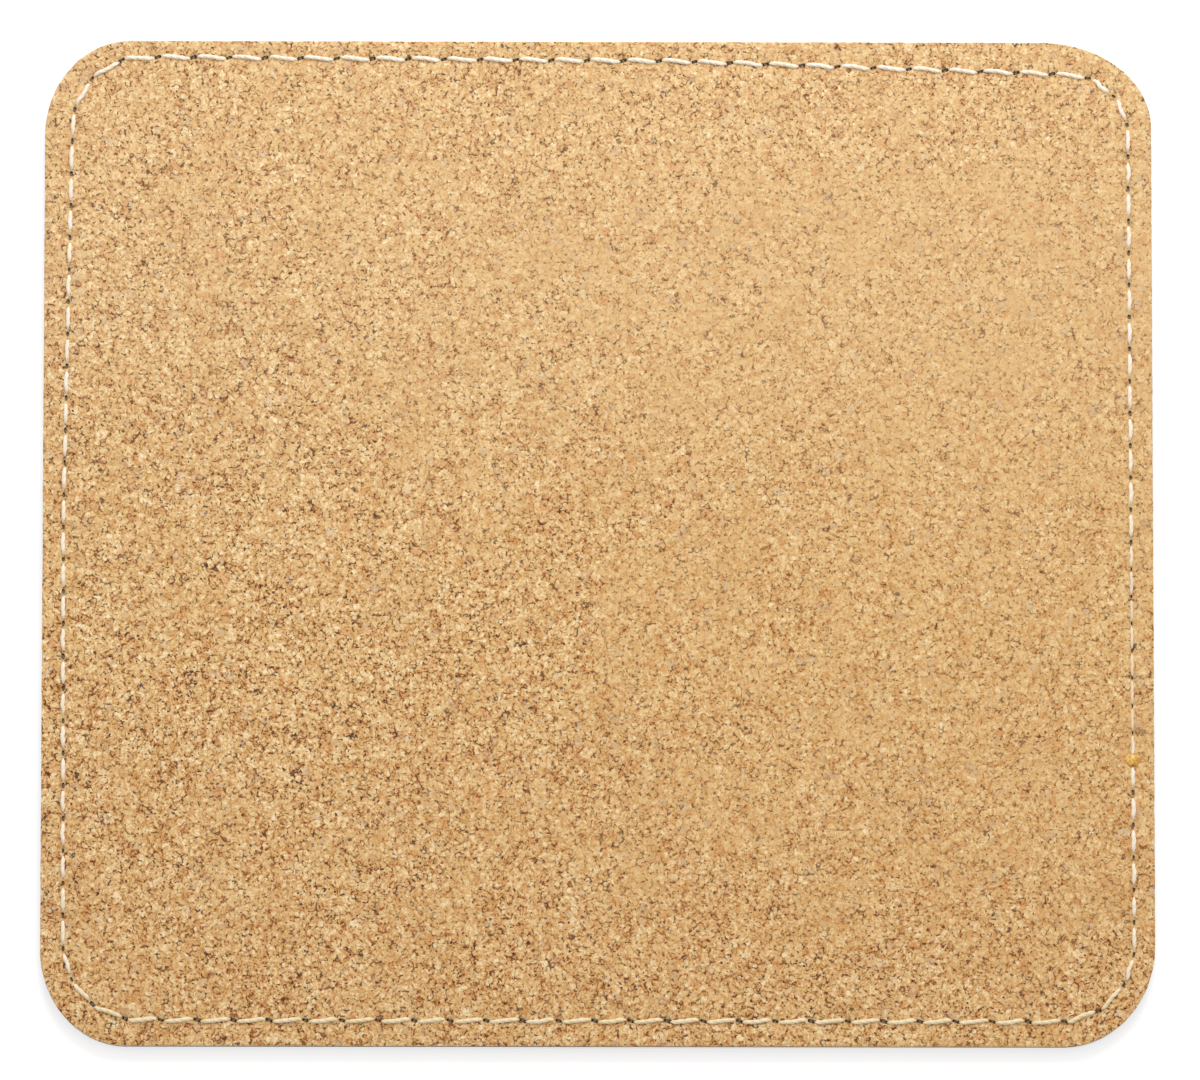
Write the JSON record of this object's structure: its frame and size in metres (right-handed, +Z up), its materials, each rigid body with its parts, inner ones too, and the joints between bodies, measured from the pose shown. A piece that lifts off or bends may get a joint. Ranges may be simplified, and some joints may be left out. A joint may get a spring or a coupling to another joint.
{
  "type": "desk mat",
  "caption": "Nearly square desk mat with rounded corners: a stitched cork face on a cushioned pad with a non-slip rubber base.",
  "frame": {"origin": "middle of the mat in plan, at the underside that lies on the desk", "axes": "+X across the mat to the right, +Y from the front edge to the back edge, +Z up"},
  "size_m": [0.22, 0.2, 0.0046],
  "materials": {
    "base_rubber": "matt, fine non-slip grain",
    "glue_film": "satin",
    "core_foam": "matt, fine closed cells",
    "scrim_cloth": "plain weave",
    "cork": "matt composition cork",
    "needle_thread": "twisted cotton",
    "bobbin_thread": "twisted cotton",
    "set_glue": "glossy amber"
  },
  "bodies": {
    "root": {"base_sheet": "base_rubber", "lower_glue_film": "glue_film", "core": "core_foam", "upper_glue_film": "glue_film", "face_scrim": "scrim_cloth", "cork_face": "cork", "needle_thread": "needle_thread", "bobbin_thread": "bobbin_thread", "glue_drop": "set_glue"}
  },
  "joints": []
}
